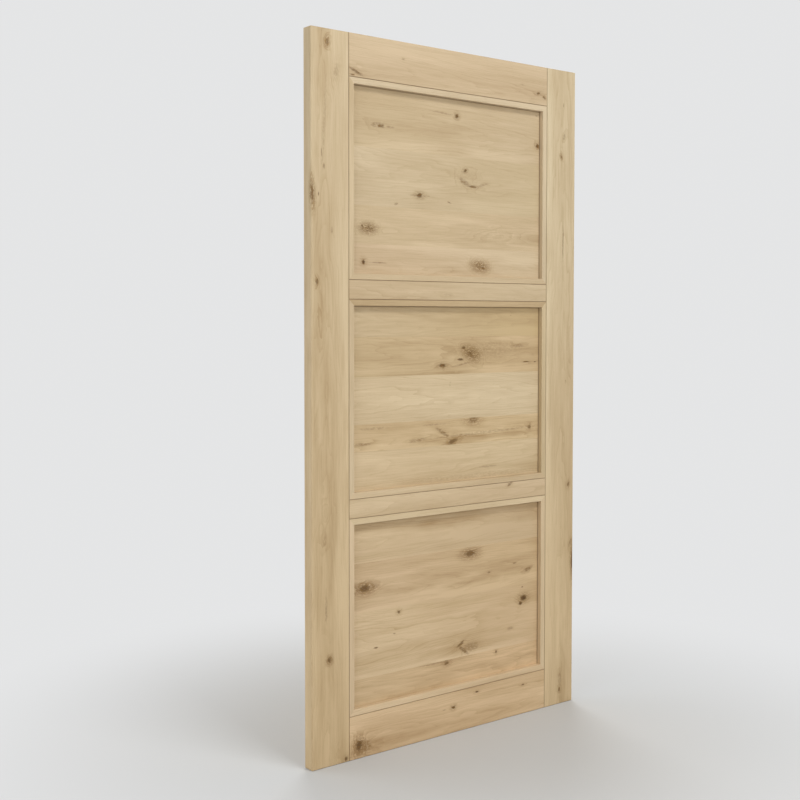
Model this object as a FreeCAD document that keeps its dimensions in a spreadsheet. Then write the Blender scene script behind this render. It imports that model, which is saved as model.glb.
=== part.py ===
import FreeCAD, Part
import os

import Sketcher

# Leaf of a barn door in solid oak, with no hardware on it: two stiles, four rails and three flat
# panels of glued boards, each panel held between mitred beads on the front and on the back.
# Millimetres. X runs across the leaf, Y through its thickness and Z up. The origin is in the middle
# of the bottom edge, and the front faces -Y. Left is -X on both sides of the leaf.

SIZES = {
    "leaf_height": 2134,
    "leaf_width": 1067,
    "leaf_thickness": 38,
    "stile_face": 132,
    "top_rail_face": 126,
    "mid_rail_face": 57,
    "bottom_rail_face": 131,
    "tenon_length": 50,
    "tenon_thickness": 13,
    "tenon_setback": 14,
    "tenon_clearance": 0.1,
    "mortise_end_room": 2,
    "panel_thickness": 10,
    "panel_recess": 16,
    "panel_gap": 2,
    "bead_face": 19,
    "bead_round": 1.5,
    "joint_arris": 1.5,
    "outer_arris": 2,
}

# The openings are all the same size, one above the other between the rails.
PANELS = ("lower", "middle", "upper")
OPENING_WIDTH = "(Sizes.leaf_width - 2 * Sizes.stile_face)"
RAILS_HEIGHT = "(Sizes.top_rail_face + Sizes.bottom_rail_face + 2 * Sizes.mid_rail_face)"
OPENING_HEIGHT = f"((Sizes.leaf_height - {RAILS_HEIGHT}) / {len(PANELS)})"
BACK_BEAD_DEPTH = "(Sizes.leaf_thickness - Sizes.panel_recess - Sizes.panel_thickness)"

# Two places are the same when they are closer than this.
NEAR = 1e-4

doc = FreeCAD.newDocument("barn_door")


def fill_sheet():
    """The sheet of driving sizes, one alias a row."""
    sheet = doc.addObject("Spreadsheet::Sheet", "Sizes")
    for row, (name, value) in enumerate(SIZES.items(), start=1):
        sheet.set(f"A{row}", name)
        sheet.set(f"B{row}", str(value))
        sheet.setAlias(f"B{row}", name)
    doc.recompute()
    return sheet


sheet = fill_sheet()


def size_of(expression):
    """The value, in millimetres, of an expression on the sheet's sizes."""
    return float(sheet.evalExpression(expression.replace("Sizes.", "")))


def opening_bottom(level):
    """Height of the lower edge of an opening, counted from the lowest one."""
    return f"(Sizes.bottom_rail_face + {level} * ({OPENING_HEIGHT} + Sizes.mid_rail_face))"


def new_body(label):
    body = doc.addObject("PartDesign::Body", label)
    body.Label = label
    return body


def place(body, x, y, z, rotation=FreeCAD.Rotation()):
    """Turns the body and ties its place to expressions."""
    body.Placement = FreeCAD.Placement(FreeCAD.Vector(), rotation)
    for axis, expression in zip("xyz", (x, y, z)):
        body.setExpression(f"Placement.Base.{axis}", expression)


def new_sketch(body, name, plane):
    """An empty sketch on one of the body's own origin planes."""
    sketch = body.newObject("Sketcher::SketchObject", name)
    origin_plane = next(item for item in body.Origin.OriginFeatures if item.Role == plane)
    sketch.AttachmentSupport = [(origin_plane, "")]
    sketch.MapMode = "FlatFace"
    return sketch


def draw_outline(sketch, base, base_width, top_width, height):
    """Four lines, symmetric about the vertical axis: a rectangle, or a bead's mitred outline."""
    low = size_of(base)
    high = low + size_of(height)
    half_base = size_of(base_width) / 2
    half_top = size_of(top_width) / 2
    corners = [(-half_base, low), (half_base, low), (half_top, high), (-half_top, high)]
    points = [FreeCAD.Vector(across, up, 0) for across, up in corners]
    lines = [
        sketch.addGeometry(Part.LineSegment(start, points[(number + 1) % 4]))
        for number, start in enumerate(points)
    ]
    base_line, right_line, top_line, left_line = lines
    for number, line in enumerate(lines):
        following = lines[(number + 1) % 4]
        sketch.addConstraint(Sketcher.Constraint("Coincident", line, 2, following, 1))
    for line in (base_line, top_line):
        sketch.addConstraint(Sketcher.Constraint("Symmetric", line, 1, line, 2, -2))
    dimensions = (
        (("DistanceX", base_line, 1, base_line, 2), base_width),
        (("DistanceX", top_line, 2, top_line, 1), top_width),
        (("DistanceY", base_line, 1, top_line, 2), height),
        (("DistanceY", -1, 1, base_line, 1), base),
    )
    for measured, expression in dimensions:
        constraint = Sketcher.Constraint(*measured, size_of(expression))
        number = sketch.addConstraint(constraint)
        sketch.setExpression(f"Constraints[{number}]", expression)


def pad(body, name, sketch, length, midplane=False, reverse=False):
    feature = body.newObject("PartDesign::Pad", name)
    feature.Profile = sketch
    feature.Midplane = midplane
    feature.Reversed = reverse
    feature.setExpression("Length", length)
    doc.recompute()
    return feature


def cut_pocket(body, name, sketch, depth, reverse):
    """A pocket that must take wood away."""
    volume = body.Tip.Shape.Volume
    feature = body.newObject("PartDesign::Pocket", name)
    feature.Profile = sketch
    feature.Reversed = reverse
    feature.setExpression("Length", depth)
    doc.recompute()
    if feature.Shape.Volume > volume - 1:
        raise RuntimeError(f"{body.Label}: {name} cuts nothing")
    return feature


def ease_edges(body, kind, name, amount, chosen):
    """A chamfer or a fillet on the edges whose middle point is chosen."""
    base = body.Tip
    edges = []
    for number, edge in enumerate(base.Shape.Edges, start=1):
        middle = edge.valueAt((edge.FirstParameter + edge.LastParameter) / 2)
        if chosen(middle):
            edges.append(f"Edge{number}")
    feature = body.newObject(kind, name)
    feature.Base = (base, edges)
    feature.setExpression("Radius" if kind.endswith("Fillet") else "Size", amount)
    doc.recompute()
    return feature


def near(value, target):
    return abs(value - target) < NEAR


def on_face(point):
    """True on the front or the back face of a frame piece."""
    return near(abs(point.y), size_of("Sizes.leaf_thickness") / 2)


def frame_piece(label, width, height):
    """A plain frame piece, as thick as the leaf, standing on its own local origin."""
    body = new_body(label)
    sketch = new_sketch(body, f"{label}_face", "XZ_Plane")
    draw_outline(sketch, "0", width, width, height)
    pad(body, f"{label}_pad", sketch, "Sizes.leaf_thickness", midplane=True)
    return body


# Each rail: its name, its face height and the height of its lower edge above the floor.
RAILS = (
    ("bottom_rail", "Sizes.bottom_rail_face", "0"),
    ("lower_mid_rail", "Sizes.mid_rail_face", f"{opening_bottom(1)} - Sizes.mid_rail_face"),
    ("upper_mid_rail", "Sizes.mid_rail_face", f"{opening_bottom(2)} - Sizes.mid_rail_face"),
    ("top_rail", "Sizes.top_rail_face", "Sizes.leaf_height - Sizes.top_rail_face"),
)


def make_stile(side):
    """A full-height upright, with a blind mortise for each rail's stub tenon.

    side is -1 for the left one and 1 for the right one.
    """
    label = "left_stile" if side < 0 else "right_stile"
    body = frame_piece(label, "Sizes.stile_face", "Sizes.leaf_height")
    inner = -side * size_of("Sizes.stile_face") / 2
    for rail, rail_face, rail_bottom in RAILS:
        sketch = new_sketch(body, f"{label}_{rail}_mouth", "YZ_Plane")
        sketch.setExpression("AttachmentOffset.Base.z", f"{-side} * Sizes.stile_face / 2")
        draw_outline(
            sketch,
            f"{rail_bottom} + Sizes.tenon_setback - Sizes.tenon_clearance",
            "Sizes.tenon_thickness + 2 * Sizes.tenon_clearance",
            "Sizes.tenon_thickness + 2 * Sizes.tenon_clearance",
            f"{rail_face} - 2 * Sizes.tenon_setback + 2 * Sizes.tenon_clearance",
        )
        depth = "Sizes.tenon_length + Sizes.mortise_end_room"
        cut_pocket(body, f"{label}_{rail}_mortise", sketch, depth, reverse=side > 0)
    ease_edges(
        body,
        "PartDesign::Chamfer",
        f"{label}_joint_arris",
        "Sizes.joint_arris",
        lambda point: on_face(point) and near(point.x, inner),
    )
    ends = (0, size_of("Sizes.leaf_height"))

    def outside(point):
        at_end = any(near(point.z, end) for end in ends)
        at_side = near(point.x, -inner)
        return (on_face(point) and (at_end or at_side)) or (at_end and at_side)

    ease_edges(body, "PartDesign::Chamfer", f"{label}_outer_arris", "Sizes.outer_arris", outside)
    place(body, f"{side} * (Sizes.leaf_width - Sizes.stile_face) / 2", "0", "0")
    return body


def make_rail(label, face, bottom):
    """A rail between the stiles. Its two stub tenons are one bar that runs through it."""
    body = frame_piece(label, OPENING_WIDTH, face)
    sketch = new_sketch(body, f"{label}_tenon_end", "YZ_Plane")
    draw_outline(
        sketch,
        "Sizes.tenon_setback",
        "Sizes.tenon_thickness",
        "Sizes.tenon_thickness",
        f"{face} - 2 * Sizes.tenon_setback",
    )
    pad(body, f"{label}_tenons", sketch, f"{OPENING_WIDTH} + 2 * Sizes.tenon_length", midplane=True)
    shoulder = size_of(OPENING_WIDTH) / 2
    low = size_of(bottom)
    high = low + size_of(face)
    leaf_top = size_of("Sizes.leaf_height")

    def outside(point):
        height = low + point.z
        return on_face(point) and (near(height, 0) or near(height, leaf_top))

    def at_joint(point):
        height = low + point.z
        at_edge = near(height, low) or near(height, high)
        at_shoulder = near(abs(point.x), shoulder)
        return on_face(point) and (at_edge or at_shoulder) and not outside(point)

    ease_edges(body, "PartDesign::Chamfer", f"{label}_joint_arris", "Sizes.joint_arris", at_joint)
    if near(low, 0) or near(high, leaf_top):
        ease_edges(body, "PartDesign::Chamfer", f"{label}_outer_arris", "Sizes.outer_arris", outside)
    place(body, "0", "0", bottom)
    return body


def make_panel(name, level):
    """A flat panel that floats in its opening, clear of the frame all round."""
    label = f"{name}_panel"
    body = new_body(label)
    sketch = new_sketch(body, f"{label}_face", "XZ_Plane")
    width = f"{OPENING_WIDTH} - 2 * Sizes.panel_gap"
    draw_outline(sketch, "0", width, width, f"{OPENING_HEIGHT} - 2 * Sizes.panel_gap")
    pad(body, f"{label}_pad", sketch, "Sizes.panel_thickness", reverse=True)
    front = "Sizes.panel_recess - Sizes.leaf_thickness / 2"
    place(body, "0", front, f"{opening_bottom(level)} + Sizes.panel_gap")
    return body


def make_bead(label, length, depth, rotation, x, y, z):
    """A mitred bead. Its long edge lies on the frame and its visible face looks out of the leaf."""
    body = new_body(label)
    sketch = new_sketch(body, f"{label}_face", "XZ_Plane")
    draw_outline(sketch, "0", length, f"{length} - 2 * Sizes.bead_face", "Sizes.bead_face")
    pad(body, f"{label}_pad", sketch, depth, reverse=True)
    ease_edges(
        body,
        "PartDesign::Chamfer",
        f"{label}_joint_arris",
        "Sizes.joint_arris",
        lambda point: near(point.y, 0) and near(point.z, 0),
    )
    inner = size_of("Sizes.bead_face")
    ease_edges(
        body,
        "PartDesign::Fillet",
        f"{label}_inner_round",
        "Sizes.bead_round",
        lambda point: near(point.y, 0) and near(point.z, inner),
    )
    place(body, x, y, z, rotation)
    return body


# Each side of the leaf: the depth of its beads, the place of its face and its turn about Z.
NO_TURN = FreeCAD.Rotation()
HALF_TURN = FreeCAD.Rotation(FreeCAD.Vector(0, 0, 1), 180)
FACES = {
    "front": ("Sizes.panel_recess", "-Sizes.leaf_thickness / 2", NO_TURN),
    "back": (BACK_BEAD_DEPTH, "Sizes.leaf_thickness / 2", HALF_TURN),
}


def make_bead_frame(face, name, level):
    """The four beads that frame one panel on the front or the back of the leaf."""
    depth, face_place, face_turn = FACES[face]
    low = opening_bottom(level)
    middle = f"{low} + {OPENING_HEIGHT} / 2"
    half_width = f"{OPENING_WIDTH} / 2"
    # Each bead: its side, its length, its place and the turn that points it at the panel's middle.
    sides = (
        ("bottom", OPENING_WIDTH, "0", low, 0),
        ("top", OPENING_WIDTH, "0", f"{low} + {OPENING_HEIGHT}", 180),
        ("left", OPENING_HEIGHT, f"-({half_width})", middle, 90),
        ("right", OPENING_HEIGHT, half_width, middle, -90),
    )
    for side, length, x, z, turn in sides:
        side_turn = FreeCAD.Rotation(FreeCAD.Vector(0, 1, 0), turn)
        rotation = side_turn.multiply(face_turn)
        label = f"{face}_{name}_panel_{side}_bead"
        yield make_bead(label, length, depth, rotation, x, face_place, z)


def make_leaf():
    """Every piece of the leaf, in the order in which a joiner makes it up."""
    pieces = [make_stile(-1), make_stile(1)]
    pieces += [make_rail(*rail) for rail in RAILS]
    for level, name in enumerate(PANELS):
        pieces.append(make_panel(name, level))
        for face in FACES:
            pieces += make_bead_frame(face, name, level)
    return pieces


def check_document(pieces):
    """Stops if any object failed, or if a piece has no valid solid."""
    for item in doc.Objects:
        if "Invalid" in item.State or "Error" in item.State:
            raise RuntimeError(f"{item.Label} failed: {item.State}")
    for piece in pieces:
        shape = piece.Shape
        if shape.isNull() or not shape.isValid() or len(shape.Solids) != 1:
            raise RuntimeError(f"{piece.Label} is not one valid solid")


pieces = make_leaf()
doc.recompute()
check_document(pieces)
os.makedirs("parts", exist_ok=True)
for piece in pieces:
    piece.Shape.exportStep(f"parts/{piece.Label}.step")
    print(piece.Label, round(piece.Shape.Volume / 1000, 2), "cubic centimetres")
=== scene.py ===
import math

import bmesh
import bpy
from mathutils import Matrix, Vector


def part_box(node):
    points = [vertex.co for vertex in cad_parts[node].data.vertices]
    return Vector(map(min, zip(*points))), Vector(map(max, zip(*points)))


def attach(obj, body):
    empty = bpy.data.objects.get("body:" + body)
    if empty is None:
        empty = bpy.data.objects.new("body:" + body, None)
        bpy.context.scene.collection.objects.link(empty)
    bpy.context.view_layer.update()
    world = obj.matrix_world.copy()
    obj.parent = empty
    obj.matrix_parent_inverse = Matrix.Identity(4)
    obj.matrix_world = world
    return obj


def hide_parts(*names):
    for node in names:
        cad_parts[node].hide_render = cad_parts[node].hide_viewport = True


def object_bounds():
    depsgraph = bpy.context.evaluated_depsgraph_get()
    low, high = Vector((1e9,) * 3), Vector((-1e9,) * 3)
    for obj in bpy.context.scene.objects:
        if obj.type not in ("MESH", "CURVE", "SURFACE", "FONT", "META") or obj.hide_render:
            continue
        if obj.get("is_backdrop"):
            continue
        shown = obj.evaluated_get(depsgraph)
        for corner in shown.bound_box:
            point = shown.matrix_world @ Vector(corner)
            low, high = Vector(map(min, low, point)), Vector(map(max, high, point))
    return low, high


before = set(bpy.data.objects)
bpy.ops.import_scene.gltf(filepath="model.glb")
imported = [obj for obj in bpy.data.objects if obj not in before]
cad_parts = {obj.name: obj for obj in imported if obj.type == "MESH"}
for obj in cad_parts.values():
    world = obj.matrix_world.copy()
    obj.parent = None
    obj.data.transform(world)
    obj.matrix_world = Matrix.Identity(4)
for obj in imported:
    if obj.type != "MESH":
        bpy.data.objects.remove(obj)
cad_low, cad_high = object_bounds()

# The stiles: two full-height uprights of solid oak, planed and given a matt oil that keeps the wood
# pale. Each is mortised on its inner edge for the rails, and the shoulders close on it with a small
# V along every joint. The grain runs up the stile.


def calc(tree, operation, first, second=0.0, third=0.0):
    """One step of arithmetic on plain numbers or on what other steps give."""
    step = tree.nodes.new("ShaderNodeMath")
    step.operation = operation
    for socket, given in zip(step.inputs, (first, second, third)):
        if isinstance(given, bpy.types.NodeSocket):
            tree.links.new(given, socket)
        else:
            socket.default_value = given
    return step.outputs[0]


def ease(tree, value, start, end, low=0.0, high=1.0):
    """Goes softly from low to high as value goes from start to end."""
    step = tree.nodes.new("ShaderNodeMapRange")
    step.interpolation_type = "SMOOTHSTEP"
    tree.links.new(value, step.inputs["Value"])
    for name, given in (("From Min", start), ("From Max", end), ("To Min", low), ("To Max", high)):
        step.inputs[name].default_value = given
    return step.outputs["Result"]


def vector_step(tree, operation, place, amounts, plus=None):
    """One step of arithmetic on a place: along the grain, across it, and in from the front."""
    step = tree.nodes.new("ShaderNodeVectorMath")
    step.operation = operation
    for socket, given in zip(step.inputs, (place, amounts, plus)):
        if isinstance(given, bpy.types.NodeSocket):
            tree.links.new(given, socket)
        elif given is not None:
            socket.default_value = given
    return step.outputs["Value" if operation == "LENGTH" else "Vector"]


def figure(tree, place, along, across, detail=2.0, rough=0.5, output="Fac"):
    """Random figure drawn out along the grain. along and across are its waves to the metre."""
    step = tree.nodes.new("ShaderNodeTexNoise")
    step.inputs["Scale"].default_value = 1.0
    step.inputs["Detail"].default_value = detail
    step.inputs["Roughness"].default_value = rough
    stretched = vector_step(tree, "MULTIPLY", place, (along, across, across))
    tree.links.new(stretched, step.inputs["Vector"])
    return step.outputs[output]


def wander(tree, place, along, across, detail=2.0, rough=0.5):
    """The same figure, as far below nought as above it."""
    return calc(tree, "SUBTRACT", figure(tree, place, along, across, detail, rough), 0.5)


MIX_AMOUNT, MIX_FIRST, MIX_SECOND, MIXED = 0, 6, 7, 2  # the sockets of a Mix node for colours


def blend(tree, amount, first, second):
    """Two colours blended by amount."""
    step = tree.nodes.new("ShaderNodeMix")
    step.data_type = "RGBA"
    tree.links.new(amount, step.inputs[MIX_AMOUNT])
    for number, given in ((MIX_FIRST, first), (MIX_SECOND, second)):
        if isinstance(given, bpy.types.NodeSocket):
            tree.links.new(given, step.inputs[number])
        else:
            step.inputs[number].default_value = (*given, 1.0)
    return step.outputs[MIXED]


def split(tree, place):
    """The three parts of a place."""
    step = tree.nodes.new("ShaderNodeSeparateXYZ")
    tree.links.new(place, step.inputs[0])
    return step.outputs


def along_timber(tree, grain, corner):
    """A point's place in the timber, and where it is on the leaf, for the seams."""
    x, y, z = split(tree, tree.nodes.new("ShaderNodeTexCoord").outputs["Object"])
    across_leaf = calc(tree, "SUBTRACT", x, corner[0])
    up_leaf = calc(tree, "SUBTRACT", z, corner[1])
    joined = tree.nodes.new("ShaderNodeCombineXYZ")
    order = (up_leaf, across_leaf) if grain == "up" else (across_leaf, up_leaf)
    tree.links.new(order[0], joined.inputs[0])
    tree.links.new(order[1], joined.inputs[1])
    tree.links.new(calc(tree, "SUBTRACT", y, corner[2]), joined.inputs[2])
    return joined.outputs[0], {"x": calc(tree, "ABSOLUTE", x), "y": y, "z": z}


RAGGED = (0.012, 0.0045, 0.0)  # how far the rims of knots and bands wander, in metres


def reach(tree, ragged, along, across, half_length, half_width, lean, depth):
    """How far a point is from the middle of a leaning oval, 1 being its rim."""
    step = tree.nodes.new("ShaderNodeMapping")
    step.vector_type = "TEXTURE"
    tree.links.new(ragged, step.inputs["Vector"])
    step.inputs["Location"].default_value = (along + RAGGED[0] / 2, across + RAGGED[1] / 2, 0.0)
    step.inputs["Rotation"].default_value = (0.0, 0.0, math.radians(lean))
    step.inputs["Scale"].default_value = (half_length, half_width, depth)
    return vector_step(tree, "LENGTH", step.outputs["Vector"], None)


PIN_CELLS = (11.0, 38.0, 8.0)  # to the metre, each with one pin knot at most
PIN_SHARE = 0.20  # of the cells that have one
PIN_SIZE, PIN_RIM = 0.13, 0.07  # of the largest, as a share of its cell
PIN_DARKNESS = 0.75


def pin_knots(tree, ragged, seed):
    """Pin knots: small dark dashes, scattered thinly."""
    step = tree.nodes.new("ShaderNodeTexVoronoi")
    step.inputs["Scale"].default_value = 1.0
    step.inputs["Randomness"].default_value = 0.9
    cells = vector_step(tree, "MULTIPLY_ADD", ragged, PIN_CELLS, (seed * 5.3, seed * 2.1, seed))
    tree.links.new(cells, step.inputs["Vector"])
    chance = split(tree, step.outputs["Color"])[0]
    size = ease(tree, chance, 1.0 - PIN_SHARE, 1.0, 0.0, PIN_SIZE)
    past_rim = calc(tree, "SUBTRACT", step.outputs["Distance"], size)
    return ease(tree, past_rim, 0.0, -PIN_RIM, 0.0, PIN_DARKNESS)


THROUGH = 0.06  # metres, more than any timber's thickness
HEART_FADES, HEART_FULL = 1.25, 0.45  # from the knot's middle, 1 being its rim
HALO_RIM, SWIRL_RIM = 3.4, 1.6  # where a knot's halo ends, and that of a swirl with no heart
WIDE_PUSH = 24.0  # millimetres, at which a halo is at its strongest
MILLIMETRE = 0.001


def placed_knots(tree, ragged, seed, knots):
    """The dark hearts, the halos in which the grain closes up and darkens, and the push on the
    rings in metres. Halo and push are None where no knot has them."""
    heart = pin_knots(tree, ragged, seed)
    halo = push_aside = None
    for along, across, half_length, half_width, lean, dark, push, *shallow in knots:
        depth = shallow[0] if shallow else THROUGH
        off = reach(tree, ragged, along, across, half_length, half_width, lean, depth)
        if dark > 0.0:
            core = ease(tree, off, HEART_FADES, HEART_FULL, 0.0, dark)
            heart = calc(tree, "MAXIMUM", heart, core)
        if push:
            ring = ease(tree, off, HALO_RIM if dark > 0.0 else SWIRL_RIM, 0.0)
            strength = min(1.0, (push / WIDE_PUSH) ** 2 + dark * min(1.0, 0.2 + push / 10.0))
            shaded = calc(tree, "MULTIPLY", ring, strength)
            halo = shaded if halo is None else calc(tree, "MAXIMUM", halo, shaded)
            pushed = calc(tree, "MULTIPLY", ring, push * MILLIMETRE)
            push_aside = pushed if push_aside is None else calc(tree, "ADD", push_aside, pushed)
    return heart, halo, push_aside


RINGS_TO_THE_METRE = 300.0
TAPER = 0.018  # how much the trunk narrows for each metre of length
BEND, WAVE = 0.09, 0.010  # how far the trunk's middle strays, and how far the rings wave, in metres
EARLY_WOOD = 2.2  # how quickly a ring goes from its open early wood to the dense late wood


def growth_rings(tree, place, timber, wave, pith, push_aside):
    """Rings round the middle of the trunk, which tapers and strays. Gives the point's place along
    the grain, the early wood of its ring, and the lines, bolder in some years than in others."""
    bend = wander(tree, timber, 1.4, 5.0, 3.0)
    along, across, inward = split(tree, place)
    side = calc(tree, "MULTIPLY_ADD", bend, BEND, calc(tree, "SUBTRACT", across, pith[0]))
    behind = calc(tree, "SUBTRACT", inward, pith[1])
    behind_squared = calc(tree, "MULTIPLY", behind, behind)
    radius = calc(tree, "SQRT", calc(tree, "MULTIPLY_ADD", side, side, behind_squared))
    radius = calc(tree, "MULTIPLY_ADD", along, TAPER, radius)
    radius = calc(tree, "MULTIPLY_ADD", wave, WAVE, radius)
    if push_aside is not None:
        radius = calc(tree, "ADD", radius, push_aside)
    rings = calc(tree, "MULTIPLY", radius, RINGS_TO_THE_METRE)
    early = calc(tree, "SUBTRACT", 1.0, calc(tree, "FRACT", rings))
    early = calc(tree, "POWER", early, EARLY_WOOD)
    years = tree.nodes.new("ShaderNodeTexNoise")
    years.noise_dimensions = "1D"
    years.inputs["Scale"].default_value = 0.7
    years.inputs["Detail"].default_value = 3.0
    tree.links.new(rings, years.inputs["W"])
    bold = ease(tree, years.outputs["Fac"], 0.35, 0.7, 0.25, 1.0)
    return along, early, calc(tree, "MULTIPLY", early, bold)


# How much each part of the grain darkens the wood, from 0 for its pale tone to 1 for its brown one.
GROUND = 0.240
LINES, FIBRE, STREAK, CLOUD, PORES = 0.19, 0.46, 0.28, 1.0, 0.30
PALE = 1.13  # the pale tone, as a share of the timber's own
BROWN = (0.62, 0.53, 0.40)  # and the brown one
BAND_DEPTH = 0.3
HALO_LINES = 3.5  # how much bolder the lines are in a halo
STAIN, STAIN_CRACKLE = 0.52, 2.3  # how dark a halo is, and how unevenly
CURL_WIDTH = 0.07
HEART_CRACKLE = 8.0  # how ragged a heart's rim is
HEART_DARK, HEART_LIGHT = (0.075, 0.034, 0.010), (0.22, 0.115, 0.036)
# The colour of painted shade, with some dust in it, laid in the V of each joint, in the corners
# where panel and bead meet, and along the leaf's foot.
SHADE_AND_DUST = (0.160, 0.100, 0.050)
SHADE_AND_DUST_EDGE, SHADE_AND_DUST_COVER = 0.0004, 0.60  # half the width that is full of painted shade and dust, and how much it hides
OIL_ROUGHNESS, FIBRE_ROUGHNESS = 0.60, 0.35
OIL_SHINE = 0.18
RELIEF_HEIGHT = 0.0003
PORE_RELIEF, FIBRE_RELIEF, LINE_RELIEF, HEART_RELIEF = -1.0, 0.6, -0.25, -0.8


def oiled_oak(
    name, grain, corner, tone, pith, seed, knots=(), bands=(), seams=(), tip=None, lively=1.0
):
    """Oak with a matt oil. corner is the (x, z, y) from which the timber is measured, and pith is
    how far the middle of the trunk lies across from it and behind its front. A knot is its place
    along and across, half length, half width, lean in degrees, darkness, the millimetres by which
    it pushes the rings aside, and its depth where it doesn't go through. A band of darker wood,
    or of lighter wood if it is below nought, is its place, half length, half width and strength.
    A seam is the axis, the place and the width of a line darkened by painted shade, with some dust
    in it. tip is the tone that the wood drifts to, and where. lively is how strongly the grain
    stands out."""
    material = bpy.data.materials.new(name)
    material.use_nodes = True
    tree = material.node_tree
    shader = tree.nodes["Principled BSDF"]
    place, sides = along_timber(tree, grain, corner)
    timber = vector_step(tree, "ADD", place, (seed * 3.71, seed * 1.37, seed * 0.73))

    jitter = figure(tree, place, 36.0, 130.0, 3.0, 0.6, "Color")
    ragged = vector_step(tree, "MULTIPLY_ADD", jitter, RAGGED, place)
    heart, halo, push_aside = placed_knots(tree, ragged, seed, knots)
    wave = wander(tree, timber, 7.0, 34.0, 2.0)
    along, early, lines = growth_rings(tree, place, timber, wave, pith, push_aside)
    if halo is not None:
        lines = calc(tree, "MULTIPLY", lines, calc(tree, "MULTIPLY_ADD", halo, HALO_LINES, 1.0))

    # The fibres, the open pores of the early wood, and the slow drift of colour in the trunk.
    fibre = wander(tree, timber, 11.0, 420.0, 3.0, 0.6)
    streak = wander(tree, timber, 4.5, 95.0, 3.0, 0.7)
    cloud = wander(tree, timber, 1.4, 14.0, 3.0)
    pores = ease(tree, figure(tree, timber, 65.0, 1400.0, 1.0), 0.60, 0.74)
    pores = calc(tree, "MULTIPLY", pores, calc(tree, "MULTIPLY_ADD", early, 0.7, 0.3))
    fine = 0.6 + 0.4 * lively
    shade = calc(tree, "MULTIPLY_ADD", lines, LINES * fine, GROUND)
    for part, weight in (
        (fibre, FIBRE), (streak, STREAK * fine), (cloud, CLOUD * lively), (pores, PORES),
    ):
        shade = calc(tree, "MULTIPLY_ADD", part, weight, shade)
    for band_along, across, half_length, half_width, strength in bands:
        off = reach(tree, ragged, band_along, across, half_length, half_width, 0.0, BAND_DEPTH)
        soft = ease(tree, calc(tree, "ADD", off, wave), 1.0, 0.0)
        shade = calc(tree, "MULTIPLY_ADD", soft, strength, shade)

    # Round a knot the wood is stained and its grain curls.
    crackle = wander(tree, ragged, 90.0, 200.0, 3.0, 0.6)
    if halo is not None:
        stain = calc(tree, "MULTIPLY_ADD", crackle, STAIN_CRACKLE, STAIN)
        shade = calc(tree, "ADD", calc(tree, "MULTIPLY", halo, stain), shade)
        curl = ease(tree, calc(tree, "ABSOLUTE", crackle), CURL_WIDTH, 0.0)
        curl = calc(tree, "MULTIPLY", curl, calc(tree, "MULTIPLY", halo, halo))
        heart = calc(tree, "MAXIMUM", heart, curl)

    pale = tuple(min(1.0, channel * PALE) for channel in tone)
    if tip is not None:
        tip_tone, tip_place = tip
        tip_pale = tuple(min(1.0, channel * PALE) for channel in tip_tone)
        pale = blend(tree, ease(tree, along, 0.0, tip_place), pale, tip_pale)
    brown = tuple(channel * share for channel, share in zip(tone, BROWN))
    colour = blend(tree, shade, pale, brown)
    rim = calc(tree, "MULTIPLY", heart, calc(tree, "SUBTRACT", 1.0, heart))
    torn = calc(tree, "MULTIPLY", crackle, rim)
    heart = calc(tree, "MULTIPLY_ADD", torn, HEART_CRACKLE, heart)
    inside = blend(tree, ease(tree, crackle, -0.12, 0.2), HEART_DARK, HEART_LIGHT)
    colour = blend(tree, heart, colour, inside)

    # Painted shade, with some dust, in the V of each joint, along the leaf's foot, and where the
    # panel goes in between the beads.
    shade_and_dust = None
    for axis, line, wide in seams:
        off = calc(tree, "ABSOLUTE", calc(tree, "SUBTRACT", sides[axis], line))
        near = ease(tree, off, wide, SHADE_AND_DUST_EDGE, 0.0, SHADE_AND_DUST_COVER)
        shade_and_dust = near if shade_and_dust is None else calc(tree, "MAXIMUM", shade_and_dust, near)
    if shade_and_dust is not None:
        colour = blend(tree, shade_and_dust, colour, SHADE_AND_DUST)
    tree.links.new(colour, shader.inputs["Base Color"])

    rough = calc(tree, "MULTIPLY_ADD", fibre, FIBRE_ROUGHNESS, OIL_ROUGHNESS)
    tree.links.new(rough, shader.inputs["Roughness"])
    shader.inputs["Specular IOR Level"].default_value = OIL_SHINE
    relief = calc(tree, "MULTIPLY", fibre, FIBRE_RELIEF)
    for part, weight in ((pores, PORE_RELIEF), (lines, LINE_RELIEF), (heart, HEART_RELIEF)):
        relief = calc(tree, "MULTIPLY_ADD", part, weight, relief)
    bump = tree.nodes.new("ShaderNodeBump")
    bump.inputs["Strength"].default_value = 0.6
    bump.inputs["Distance"].default_value = RELIEF_HEIGHT
    tree.links.new(relief, bump.inputs["Height"])
    tree.links.new(bump.outputs["Normal"], shader.inputs["Normal"])
    return material


def dress(node, material):
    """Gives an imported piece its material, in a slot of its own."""
    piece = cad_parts[node]
    piece.data.materials.clear()
    piece.data.materials.append(material)


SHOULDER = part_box("right_stile")[0].x  # where stiles and rails meet, from the leaf's middle
# How far either side of each joint's V the painted shade, with some dust, reaches.
V_SHADE_AND_DUST = 0.0020
# Painted shade along the leaf's foot, where it stands on the floor.
LEAF_FOOT = ("z", 0.0, V_SHADE_AND_DUST)
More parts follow.
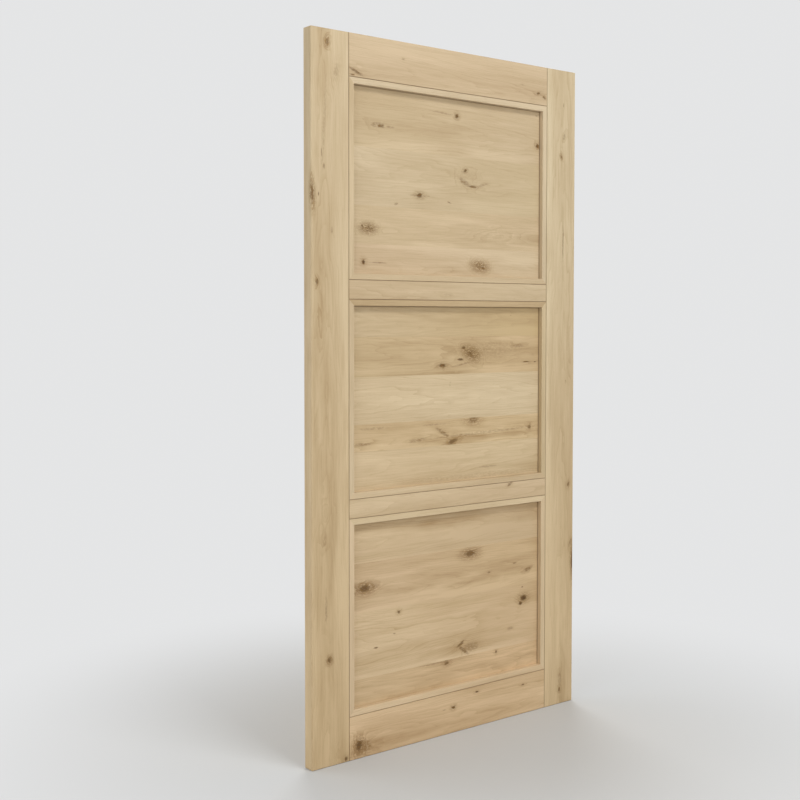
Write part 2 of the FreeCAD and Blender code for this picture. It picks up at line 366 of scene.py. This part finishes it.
# For each stile: pith, seed, liveliness, its tone at the foot and at the top, knots and bands.
STILES = {
    "left_stile": ((0.050, 0.085), 1.0, 1.2, (0.560, 0.422, 0.250), (0.545, 0.436, 0.283), (
        (0.011, 0.120, 0.008, 0.006, 0, 0.85, 3),
        (0.030, 0.085, 0.030, 0.014, 0, 0.0, 8),
        (0.314, 0.061, 0.008, 0.007, 0, 0.77, 8),
        (0.462, 0.050, 0.042, 0.005, 0, 0.27, 2),
        (0.665, 0.045, 0.017, 0.007, 0, 0.12, 6),
        (0.745, 0.048, 0.034, 0.014, 0, 0.0, 9),
        (1.290, 0.034, 0.110, 0.016, 0, 0.0, 9),
        (1.413, 0.020, 0.009, 0.005, 0, 0.68, 5),
        (1.561, 0.072, 0.012, 0.004, 0, 0.21, 2),
        (1.664, 0.005, 0.029, 0.006, -3, 0.59, 14, 0.006),
        (1.663, 0.026, 0.006, 0.002, 0, 0.76, 1),
        (1.742, 0.045, 0.007, 0.003, 0, 0.53, 2),
        (1.781, 0.037, 0.014, 0.002, 0, 0.38, 1),
        (1.860, 0.045, 0.141, 0.007, 3, 0.12, 2),
        (2.014, 0.088, 0.029, 0.010, 12, 0.14, 7),
        (2.097, 0.056, 0.011, 0.006, 10, 0.60, 12),
    ), (
        (1.35, 0.018, 0.70, 0.030, 0.38),
        (0.42, 0.126, 0.70, 0.030, -0.32),
        (0.31, 0.009, 0.40, 0.040, -0.29),
        (0.73, 0.072, 0.70, 0.030, 0.31),
        (1.19, 0.126, 0.40, 0.024, -0.36),
        (2.13, 0.039, 0.40, 0.040, 0.44),
        (1.61, 0.093, 0.70, 0.030, -0.09),
        (1.09, 0.045, 0.40, 0.024, 0.24),
    )),
    "right_stile": ((0.075, 0.100), 2.0, 1.2, (0.548, 0.415, 0.248), (0.587, 0.489, 0.330), (
        (0.049, 0.070, 0.008, 0.005, 0, 0.71, 5),
        (0.085, 0.072, 0.028, 0.009, 0, 0.21, 3),
        (0.482, 0.128, 0.035, 0.005, 0, 0.77, 10, 0.006),
        (0.545, 0.118, 0.016, 0.005, 20, 0.39, 4),
        (0.746, 0.108, 0.009, 0.005, 15, 0.68, 5),
        (1.094, 0.093, 0.008, 0.003, 0, 0.21, 2),
        (1.210, 0.104, 0.120, 0.012, 0, 0.0, 8),
        (1.564, 0.077, 0.064, 0.002, 0, 0.67, 1),
        (1.848, 0.067, 0.007, 0.004, -15, 0.60, 8),
        (1.914, 0.080, 0.013, 0.005, 25, 0.34, 4),
    ), (
        (0.76, 0.003, 0.70, 0.030, -0.40),
        (0.59, 0.111, 0.70, 0.030, 0.22),
        (1.84, 0.015, 0.70, 0.030, -0.27),
        (0.01, 0.087, 0.40, 0.040, 0.39),
        (1.03, 0.081, 0.70, 0.030, 0.09),
        (0.23, 0.003, 0.40, 0.040, -0.32),
        (1.79, 0.063, 0.70, 0.030, 0.08),
        (0.36, 0.066, 0.40, 0.024, -0.24),
    )),
}
for node, (pith, seed, lively, tone, tip, knots, bands) in STILES.items():
    low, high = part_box(node)
    # Painted shade, with some dust, in the V by the rails and along the foot.
    seams = (("x", SHOULDER, V_SHADE_AND_DUST), LEAF_FOOT)
    material = oiled_oak(
        f"oak_{node}", "up", (low.x, low.z, low.y), tone, pith, seed, knots, bands,
        seams, (tip, high.z), lively,
    )
    dress(node, material)

# The rails: four crosspieces of the same planed and oiled oak, tenoned into the stiles, with their
# grain across the leaf. The two between the panels are narrow, the top and bottom ones wide.

# The same for each rail as for a stile, with its tone at the left end and at the right.
RAILS = {
    "top_rail": ((0.02, 0.10), 3.0, 1.1, (0.528, 0.407, 0.264), (0.560, 0.437, 0.287), (
        (0.202, 0.075, 0.006, 0.003, 0, 0.42, 2),
        (0.026, 0.016, 0.026, 0.005, -22, 0.65, 3),
        (0.012, 0.006, 0.010, 0.002, 0, 0.67, 1),
        (0.690, 0.057, 0.011, 0.003, 0, 0.19, 1),
        (0.762, 0.037, 0.010, 0.004, 5, 0.82, 3),
        (0.790, 0.026, 0.008, 0.004, -30, 0.58, 2),
    ), ()),
    "upper_mid_rail": ((0.02, 0.07), 4.0, 1.1, (0.530, 0.408, 0.260), (0.539, 0.427, 0.277), (
        (0.380, 0.018, 0.020, 0.005, 0, 0.12, 5),
        (0.285, 0.020, 0.050, 0.006, 0, 0.0, 5),
    ), ()),
    "lower_mid_rail": ((0.03, 0.06), 5.0, 1.2, (0.572, 0.444, 0.283), (0.567, 0.436, 0.280), (
        (0.642, 0.050, 0.012, 0.005, 25, 0.55, 3),
    ), ()),
    "bottom_rail": ((0.04, 0.09), 6.0, 1.8, (0.621, 0.457, 0.281), (0.625, 0.464, 0.284), (
        (0.035, 0.040, 0.012, 0.018, 0, 0.88, 10),
        (0.050, 0.034, 0.033, 0.026, 0, 0.31, 6),
        (0.402, 0.081, 0.007, 0.006, 0, 0.97, 4),
        (0.500, 0.112, 0.008, 0.003, 0, 0.97, 2),
        (0.704, 0.097, 0.008, 0.003, 0, 0.77, 2),
    ), (
        (0.10, 0.066, 0.24, 0.080, 0.18),
        (0.42, 0.066, 0.22, 0.080, -0.14),
    )),
}
for node, (pith, seed, lively, tone, tip, knots, bands) in RAILS.items():
    low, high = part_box(node)
    # Painted shade, with some dust, in the V by the stiles and along the edges that meet the beads.
    joints = [level for level in (low.z, high.z) if level < cad_high.z - V_SHADE_AND_DUST]
    seams = [("x", SHOULDER, V_SHADE_AND_DUST)] + [("z", level, V_SHADE_AND_DUST) for level in joints]
    material = oiled_oak(
        f"oak_{node}", "across", (-SHOULDER, low.z, low.y), tone, pith, seed, knots, bands,
        seams, (tip, 2.0 * SHOULDER), lively,
    )
    dress(node, material)

# The panels: each is made up of oak boards glued edge to edge, planed flush and left loose between
# its beads, so that it can shrink and swell. Every board has its own run of grain and its knots,
# and the glue joints show as hairlines.

BOARD_ARRIS = 0.0002
# How wide the painted shade, with some dust, lies in the corners where panel and beads meet.
PANEL_SHADE_AND_DUST = 0.0040
bead_low, bead_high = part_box("front_upper_panel_left_bead")
BEAD_FACE = bead_high.x - bead_low.x
# For each panel: liveliness, boards, knots and bands. Across is down from the beads' upper edge.
# For each board, from the top: lower edge, tone at the left and right ends, pith and seed.
PANELS = {
    "upper_panel": (
        1.0,
        (
            (0.195, (0.531, 0.416, 0.263), (0.516, 0.404, 0.261), (0.06, 0.10), 11.0),
            (0.367, (0.561, 0.450, 0.298), (0.514, 0.408, 0.256), (0.12, 0.13), 12.0),
            (0.480, (0.521, 0.404, 0.254), (0.599, 0.472, 0.307), (0.05, 0.07), 13.0),
            (0.600, (0.577, 0.447, 0.295), (0.541, 0.426, 0.278), (0.03, 0.08), 14.0),
        ),
        (
            (0.425, 0.070, 0.007, 0.007, 0, 0.91, 5),
            (0.370, 0.066, 0.054, 0.003, -3, 0.23, 1),
            (0.116, 0.127, 0.028, 0.008, 0, 0.32, 5),
            (0.128, 0.129, 0.016, 0.006, 0, 0.66, 2),
            (0.164, 0.129, 0.017, 0.004, 0, 0.25, 1),
            (0.774, 0.132, 0.008, 0.008, 0, 0.95, 4),
            (0.460, 0.236, 0.007, 0.005, 20, 0.89, 5),
            (0.474, 0.252, 0.050, 0.030, 0, 0.0, 11),
            (0.456, 0.272, 0.024, 0.009, -24, 0.38, 4),
            (0.490, 0.284, 0.022, 0.004, -4, 0.70, 4),
            (0.534, 0.276, 0.026, 0.005, 18, 0.20, 2),
            (0.276, 0.325, 0.012, 0.007, 0, 0.88, 5),
            (0.278, 0.326, 0.049, 0.003, 0, 0.21, 0),
            (0.394, 0.340, 0.009, 0.002, -10, 0.64, 0),
            (0.185, 0.356, 0.007, 0.004, 15, 0.34, 0),
            (0.080, 0.434, 0.040, 0.021, 0, 0.0, 24),
            (0.060, 0.428, 0.006, 0.004, -40, 0.72, 0),
            (0.094, 0.441, 0.008, 0.003, 20, 0.42, 0),
            (0.600, 0.432, 0.110, 0.024, 0, 0.0, 11),
            (0.064, 0.534, 0.007, 0.007, 0, 0.97, 3),
            (0.115, 0.535, 0.036, 0.002, 0, 0.38, 0),
            (0.522, 0.534, 0.045, 0.022, -8, 0.0, 26),
            (0.535, 0.539, 0.010, 0.005, -45, 0.71, 0),
            (0.506, 0.527, 0.008, 0.003, -30, 0.30, 0),
        ),
        (
            (0.63, 0.176, 0.26, 0.045, -0.33),
            (0.35, 0.126, 0.26, 0.045, 0.25),
            (0.61, 0.041, 0.26, 0.045, 0.11),
            (0.24, 0.191, 0.26, 0.045, -0.23),
            (0.21, 0.300, 0.26, 0.045, -0.28),
            (0.24, 0.240, 0.26, 0.045, 0.25),
            (0.35, 0.350, 0.26, 0.045, 0.19),
            (0.52, 0.230, 0.26, 0.045, 0.14),
            (0.41, 0.392, 0.26, 0.026, -0.24),
            (0.31, 0.477, 0.16, 0.018, -0.37),
            (0.78, 0.442, 0.16, 0.030, 0.28),
            (0.59, 0.432, 0.16, 0.030, -0.22),
            (0.49, 0.555, 0.26, 0.026, 0.22),
            (0.29, 0.485, 0.26, 0.026, -0.17),
            (0.71, 0.515, 0.16, 0.030, -0.24),
            (0.29, 0.530, 0.26, 0.045, 0.09),
        ),
    ),
    "middle_panel": (
        1.35,
        (
            (0.112, (0.517, 0.399, 0.247), (0.475, 0.351, 0.190), (0.05, 0.09), 15.0),
            (0.230, (0.535, 0.408, 0.245), (0.516, 0.379, 0.220), (0.08, 0.12), 16.0),
            (0.371, (0.596, 0.472, 0.305), (0.606, 0.491, 0.324), (0.07, 0.11), 17.0),
            (0.452, (0.600, 0.458, 0.280), (0.660, 0.513, 0.315), (0.02, 0.06), 18.0),
            (0.600, (0.603, 0.471, 0.300), (0.585, 0.462, 0.291), (0.09, 0.10), 19.0),
        ),
        (
            (0.455, 0.148, 0.008, 0.005, 0, 0.85, 5),
            (0.488, 0.166, 0.047, 0.028, -22, 0.0, 24),
            (0.482, 0.170, 0.029, 0.007, -30, 0.46, 5),
            (0.442, 0.185, 0.014, 0.004, 0, 0.89, 1),
            (0.580, 0.156, 0.120, 0.028, 0, 0.10, 6),
            (0.690, 0.145, 0.027, 0.006, 0, 0.28, 3),
            (0.367, 0.202, 0.016, 0.006, 0, 0.91, 5),
            (0.446, 0.201, 0.042, 0.003, 10, 0.32, 0),
            (0.727, 0.198, 0.014, 0.002, 0, 0.97, 1),
            (0.767, 0.199, 0.006, 0.002, 0, 0.89, 0),
            (0.400, 0.260, 0.003, 0.009, 0, 0.20, 0),
            (0.495, 0.378, 0.022, 0.011, 0, 0.50, 8),
            (0.102, 0.385, 0.060, 0.004, 0, 0.17, 2),
            (0.340, 0.385, 0.054, 0.003, 0, 0.21, 1),
            (0.062, 0.430, 0.033, 0.005, 0, 0.29, 3),
            (0.268, 0.430, 0.039, 0.006, 4, 0.28, 4),
            (0.540, 0.421, 0.231, 0.005, 2, 0.21, 4),
            (0.370, 0.412, 0.035, 0.006, -30, 0.43, 3),
            (0.410, 0.442, 0.022, 0.007, 18, 0.73, 5),
            (0.742, 0.414, 0.009, 0.007, 0, 0.68, 4),
            (0.560, 0.532, 0.042, 0.003, 0, 0.27, 1),
            (0.500, 0.556, 0.300, 0.010, 0, 0.10, 1),
        ),
        (
            (0.65, 0.036, 0.26, 0.014, 0.16),
            (0.41, 0.061, 0.26, 0.045, 0.15),
            (0.71, 0.096, 0.16, 0.030, -0.36),
            (0.20, 0.106, 0.26, 0.026, -0.12),
            (0.29, 0.221, 0.14, 0.014, -0.35),
            (0.58, 0.227, 0.26, 0.045, -0.16),
            (0.54, 0.157, 0.26, 0.045, 0.31),
            (0.78, 0.157, 0.16, 0.030, 0.38),
            (0.68, 0.117, 0.16, 0.018, -0.40),
            (0.57, 0.227, 0.26, 0.045, -0.35),
            (0.07, 0.330, 0.26, 0.045, 0.14),
            (0.42, 0.370, 0.26, 0.026, 0.26),
            (0.34, 0.230, 0.26, 0.026, 0.44),
            (0.78, 0.325, 0.26, 0.045, 0.10),
            (0.69, 0.245, 0.26, 0.045, -0.09),
            (0.44, 0.426, 0.26, 0.045, 0.47),
            (0.14, 0.406, 0.26, 0.045, 0.33),
            (0.62, 0.436, 0.26, 0.014, 0.28),
            (0.52, 0.421, 0.16, 0.010, -0.38),
            (0.66, 0.401, 0.26, 0.014, 0.21),
            (0.77, 0.426, 0.26, 0.014, 0.27),
            (0.32, 0.436, 0.09, 0.009, 0.39),
            (0.38, 0.391, 0.16, 0.030, 0.15),
            (0.78, 0.547, 0.26, 0.045, 0.33),
            (0.56, 0.462, 0.26, 0.045, -0.14),
            (0.34, 0.557, 0.26, 0.026, 0.15),
            (0.02, 0.552, 0.26, 0.026, 0.16),
            (0.38, 0.502, 0.26, 0.026, 0.12),
        ),
    ),
    "lower_panel": (
        1.85,
        (
            (0.140, (0.565, 0.430, 0.267), (0.486, 0.360, 0.217), (0.07, 0.10), 20.0),
            (0.289, (0.569, 0.424, 0.264), (0.546, 0.402, 0.235), (0.05, 0.08), 21.0),
            (0.488, (0.678, 0.533, 0.347), (0.546, 0.400, 0.242), (0.10, 0.12), 22.0),
            (0.600, (0.542, 0.399, 0.237), (0.697, 0.506, 0.306), (0.04, 0.09), 24.0),
        ),
        (
            (0.485, 0.161, 0.023, 0.011, 0, 0.78, 8),
            (0.067, 0.216, 0.022, 0.011, 0, 0.82, 9),
            (0.100, 0.215, 0.023, 0.009, 0, 0.26, 6),
            (0.677, 0.216, 0.008, 0.002, 0, 0.76, 1),
            (0.565, 0.232, 0.007, 0.004, 0, 0.49, 1),
            (0.737, 0.244, 0.019, 0.006, 10, 0.45, 5),
            (0.197, 0.306, 0.006, 0.006, 0, 0.76, 4),
            (0.715, 0.300, 0.005, 0.002, 0, 0.64, 0),
            (0.179, 0.370, 0.005, 0.002, 0, 0.52, 0),
            (0.720, 0.337, 0.016, 0.010, 0, 0.96, 6),
            (0.706, 0.353, 0.009, 0.007, 0, 0.97, 2),
            (0.660, 0.430, 0.015, 0.005, 0, 0.29, 2),
            (0.446, 0.446, 0.019, 0.005, 30, 0.68, 3),
            (0.458, 0.468, 0.027, 0.006, -36, 0.54, 4),
            (0.490, 0.462, 0.035, 0.015, 0, 0.28, 5),
            (0.340, 0.491, 0.078, 0.003, 0, 0.21, 0),
            (0.387, 0.497, 0.010, 0.006, 0, 0.64, 5),
            (0.597, 0.497, 0.005, 0.005, 0, 0.86, 2),
        ),
        (
            (0.43, 0.031, 0.26, 0.045, 0.54),
            (0.12, 0.036, 0.26, 0.045, 0.37),
            (0.78, 0.061, 0.26, 0.045, 0.25),
            (0.55, 0.091, 0.26, 0.026, -0.37),
            (0.38, 0.031, 0.16, 0.010, -0.40),
            (0.20, 0.284, 0.30, 0.012, -0.33),
            (0.63, 0.235, 0.26, 0.045, 0.46),
            (0.63, 0.155, 0.26, 0.045, -0.30),
            (0.35, 0.235, 0.26, 0.045, 0.40),
            (0.53, 0.285, 0.26, 0.026, -0.40),
            (0.13, 0.190, 0.26, 0.014, -0.31),
            (0.47, 0.449, 0.26, 0.045, 0.51),
            (0.27, 0.384, 0.26, 0.045, -0.20),
            (0.78, 0.334, 0.26, 0.045, 0.43),
            (0.02, 0.434, 0.26, 0.045, 0.21),
            (0.38, 0.304, 0.26, 0.045, 0.20),
            (0.61, 0.488, 0.26, 0.026, -0.70),
            (0.09, 0.538, 0.26, 0.045, -0.25),
            (0.53, 0.558, 0.26, 0.045, -0.16),
            (0.21, 0.503, 0.26, 0.026, -0.19),
            (0.78, 0.528, 0.16, 0.030, 0.29),
            (0.66, 0.545, 0.30, 0.040, 0.26),
            (0.57, 0.492, 0.20, 0.026, -0.38),
            (0.37, 0.488, 0.09, 0.016, -0.30),
        ),
    ),
}
for node, (lively, boards, knots, bands) in PANELS.items():
    low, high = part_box(node)
    beads_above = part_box(f"front_{node}_top_bead")[1].z
    # Painted shade, with some dust, on the panel along the side and top beads.
    seams = (("x", SHOULDER - BEAD_FACE, PANEL_SHADE_AND_DUST), ("z", beads_above - BEAD_FACE, PANEL_SHADE_AND_DUST))
    mesh = bpy.data.meshes.new(f"{node}_boards")
    shell = bmesh.new()
    top = high.z
    for number, (lower_edge, tone, tip, pith, seed) in enumerate(boards):
        bottom = max(low.z, beads_above - lower_edge)
        board_knots, board_bands = (
            [
                (along, beads_above - down - bottom, *rest)
                for along, down, *rest in marks
                if bottom <= beads_above - down < top
            ]
            for marks in (knots, bands)
        )
        mesh.materials.append(
            oiled_oak(
                f"oak_{node}_board_{number + 1}", "across", (-SHOULDER, bottom, low.y), tone,
                pith, seed, board_knots, board_bands, seams, (tip, high.x + SHOULDER), lively,
            )
        )

        # The board's section, with an arris at each corner, drawn out from end to end.
        outline = []
        for y, z, turn_y, turn_z in (
            (low.y, bottom, 1, 1),
            (high.y, bottom, -1, 1),
            (high.y, top, -1, -1),
            (low.y, top, 1, -1),
        ):
            corner = [(y + turn_y * BOARD_ARRIS, z), (y, z + turn_z * BOARD_ARRIS)]
            outline += corner if turn_y == -turn_z else corner[::-1]
        ends = [[shell.verts.new((x, y, z)) for y, z in outline] for x in (low.x, high.x)]
        faces = [shell.faces.new(ends[0][::-1]), shell.faces.new(ends[1])]
        for here in range(len(outline)):
            after = (here + 1) % len(outline)
            side = (ends[0][here], ends[0][after], ends[1][after], ends[1][here])
            faces.append(shell.faces.new(side))
        for face in faces:
            face.material_index = number
        top = bottom
    bmesh.ops.recalc_face_normals(shell, faces=shell.faces)
    shell.to_mesh(mesh)
    shell.free()
    panel = bpy.data.objects.new(f"{node}_boards", mesh)
    bpy.context.scene.collection.objects.link(panel)
    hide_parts(node)
    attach(panel, "root")

# The beads: slim oak strips, mitred at the corners and pinned round each panel on both sides, flush
# with the frame. Each has a small round on the edge by the panel and a V where it meets the frame.

BEAD_TONES = {
    "upper_panel_top": (0.598, 0.489, 0.339),
    "upper_panel_bottom": (0.553, 0.434, 0.280),
    "upper_panel_left": (0.578, 0.461, 0.302),
    "upper_panel_right": (0.572, 0.467, 0.319),
    "middle_panel_top": (0.488, 0.365, 0.215),
    "middle_panel_bottom": (0.572, 0.445, 0.285),
    "middle_panel_left": (0.619, 0.499, 0.338),
    "middle_panel_right": (0.540, 0.429, 0.268),
    "lower_panel_top": (0.638, 0.513, 0.335),
    "lower_panel_bottom": (0.650, 0.501, 0.325),
    "lower_panel_left": (0.605, 0.468, 0.308),
    "lower_panel_right": (0.612, 0.481, 0.314),
}
BEAD_PITH = (0.12, 0.15)
FIRST_BEAD_SEED = 30.0
beads = sorted(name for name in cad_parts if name.endswith("_bead"))
for number, node in enumerate(beads):
    low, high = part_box(node)
    face, which, _, side, _ = node.split("_")
    # Painted shade, with some dust, in the V where each bead meets the frame.
    if side in ("left", "right"):
        grain, seams = "up", [("x", SHOULDER, V_SHADE_AND_DUST)]
    else:
        grain, seams = "across", [("z", high.z if side == "top" else low.z, V_SHADE_AND_DUST)]
    # Painted shade, with some dust, on the bead's inner face where it meets the panel, except on
    # the bottom beads.
    if side != "bottom":
        panel_low, panel_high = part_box(f"{which}_panel")
        seams.append(("y", panel_low.y if face == "front" else panel_high.y, PANEL_SHADE_AND_DUST))
    material = oiled_oak(
        f"oak_{node}", grain, (low.x, low.z, low.y), BEAD_TONES[f"{which}_panel_{side}"],
        BEAD_PITH, FIRST_BEAD_SEED + number, seams=seams,
    )
    dress(node, material)

# The floor under the leaf: plain, pale and matt. It keeps the leaf's shadow round the foot, and
# further out it runs into the pale backdrop.

BACKDROP = (0.780, 0.785, 0.790, 1.0)
FLOOR_PAINT = (0.580, 0.580, 0.575, 1.0)
FLOOR_RADIUS = 14.0
FADE_STARTS, FADE_ENDS = 0.4, 1.8  # metres out from the leaf's middle


def seen_plainly(tree):
    """1 for what is looked at, in something shiny or through glass too, and 0 for what lights."""
    ray = tree.nodes.new("ShaderNodeLightPath")
    seen = calc(tree, "MAXIMUM", ray.outputs["Is Camera Ray"], ray.outputs["Is Glossy Ray"])
    return calc(tree, "MAXIMUM", seen, ray.outputs["Is Transmission Ray"])


floor_mesh = bpy.data.meshes.new("floor")
shell = bmesh.new()
bmesh.ops.create_circle(shell, cap_ends=True, segments=128, radius=FLOOR_RADIUS)
shell.to_mesh(floor_mesh)
shell.free()
floor = bpy.data.objects.new("floor", floor_mesh)
bpy.context.scene.collection.objects.link(floor)
paint = bpy.data.materials.new("floor_paint")
paint.use_nodes = True
tree = paint.node_tree
matt = tree.nodes["Principled BSDF"]
matt.inputs["Base Color"].default_value = FLOOR_PAINT
matt.inputs["Roughness"].default_value = 0.9
far = tree.nodes.new("ShaderNodeEmission")
far.inputs["Color"].default_value = BACKDROP
spot = tree.nodes.new("ShaderNodeTexCoord").outputs["Object"]
fade = ease(tree, vector_step(tree, "LENGTH", spot, None), FADE_STARTS, FADE_ENDS)
both = tree.nodes.new("ShaderNodeMixShader")
tree.links.new(calc(tree, "MULTIPLY", fade, seen_plainly(tree)), both.inputs[0])
tree.links.new(matt.outputs[0], both.inputs[1])
tree.links.new(far.outputs[0], both.inputs[2])
tree.links.new(both.outputs[0], tree.nodes["Material Output"].inputs["Surface"])
floor_mesh.materials.append(paint)
floor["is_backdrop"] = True

# The studio: even, faintly warm light from all round, a high lamp and a wide one in front, one at
# the left, and two behind for the back of the leaf.

FILL_COLOUR, FILL_STRENGTH = (1.0, 0.985, 0.94, 1.0), 0.41
LAMP_COLOUR = (0.968, 0.984, 1.0)
studio = bpy.data.worlds.new("studio")
bpy.context.scene.world = studio
studio.use_nodes = True
tree = studio.node_tree
light = tree.nodes["Background"]
light.inputs["Color"].default_value = FILL_COLOUR
light.inputs["Strength"].default_value = FILL_STRENGTH
backdrop = tree.nodes.new("ShaderNodeBackground")
backdrop.inputs["Color"].default_value = BACKDROP
both = tree.nodes.new("ShaderNodeMixShader")
tree.links.new(seen_plainly(tree), both.inputs[0])
tree.links.new(light.outputs[0], both.inputs[1])
tree.links.new(backdrop.outputs[0], both.inputs[2])
tree.links.new(both.outputs[0], tree.nodes["World Output"].inputs["Surface"])

# For each lamp: where it stands, where it points, its width and height, and its watts.
for name, place, aim, width, height, watts in (
    ("high_lamp", (0.0, -2.35, 4.3), (0.0, 0.0, 1.2), 1.6, 0.7, 61.8),
    ("wide_lamp", (0.6, -3.9, 1.7), (0.0, 0.0, 0.8), 3.4, 2.0, 53.5),
    ("left_lamp", (-4.0, -1.6, 1.9), (0.0, 0.0, 1.3), 2.4, 2.2, 36.6),
    ("back_lamp", (-3.0, 2.8, 1.3), (0.0, 0.0, 0.8), 2.6, 2.2, 47.0),
    ("far_lamp", (2.4, 3.4, 2.3), (0.0, 0.0, 0.9), 2.6, 2.2, 105.0),
):
    softbox = bpy.data.lights.new(name, "AREA")
    softbox.shape = "RECTANGLE"
    softbox.size = width
    softbox.size_y = height
    softbox.energy = watts
    softbox.color = LAMP_COLOUR
    lamp = bpy.data.objects.new(name, softbox)
    lamp.location = place
    lamp.rotation_euler = (Vector(aim) - Vector(place)).to_track_quat("-Z", "Y").to_euler()
    bpy.context.scene.collection.objects.link(lamp)

# The camera stands in front of the leaf and to its left, at chest height, and looks slightly down.
# A small shift frames the leaf as in the photograph.

lens = bpy.data.cameras.new("camera")
lens.lens = 54.01
lens.shift_y = -0.045
camera = bpy.data.objects.new("camera", lens)
camera.location = (-2.4295, -2.874, 1.304)
camera.rotation_euler = (math.radians(87.88), math.radians(-0.03), math.radians(-37.82))
bpy.context.scene.collection.objects.link(camera)
bpy.context.scene.camera = camera
bpy.context.scene.view_settings.view_transform = "Standard"

low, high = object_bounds()
